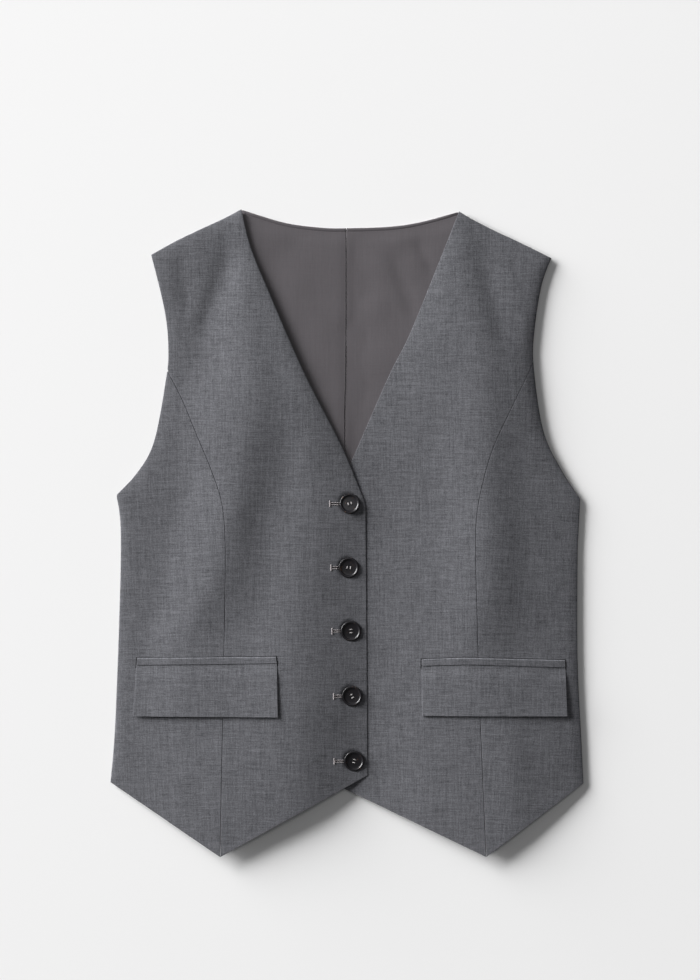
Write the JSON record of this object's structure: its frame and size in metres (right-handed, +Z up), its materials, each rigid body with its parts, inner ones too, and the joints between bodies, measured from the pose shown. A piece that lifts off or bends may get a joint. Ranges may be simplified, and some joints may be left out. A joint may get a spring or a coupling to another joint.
{
  "type": "suit waistcoat",
  "caption": "Woman's tailored waistcoat with a V neck, princess seams, flap pockets and a pointed hem, buttoned up and laid flat on its back.",
  "frame": {"origin": "on the surface that the waistcoat lies on, under the middle of its outline", "axes": "+Z up from the surface; +Y from the hem towards the neck; +X towards the wearer's left side"},
  "size_m": [0.441, 0.6031, 0.0143],
  "materials": {
    "suiting": "matt plain-weave wool suiting in a heathered mid grey",
    "lining": "soft-sheen lining satin in a warm taupe grey",
    "button": "polished near-black resin with a rim, a dished face and four holes"
  },
  "bodies": {
    "root": {"front_right_centre": "suiting", "front_right_side": "suiting", "front_left_centre": "suiting", "front_left_side": "suiting", "back_right": "lining", "back_left": "lining", "lining_right": "lining", "lining_left": "lining", "welt_right": "suiting", "welt_left": "suiting", "flap_right": "suiting", "flap_left": "suiting", "button_1": "button", "button_2": "button", "button_3": "button", "button_4": "button", "button_5": "button"}
  },
  "joints": []
}
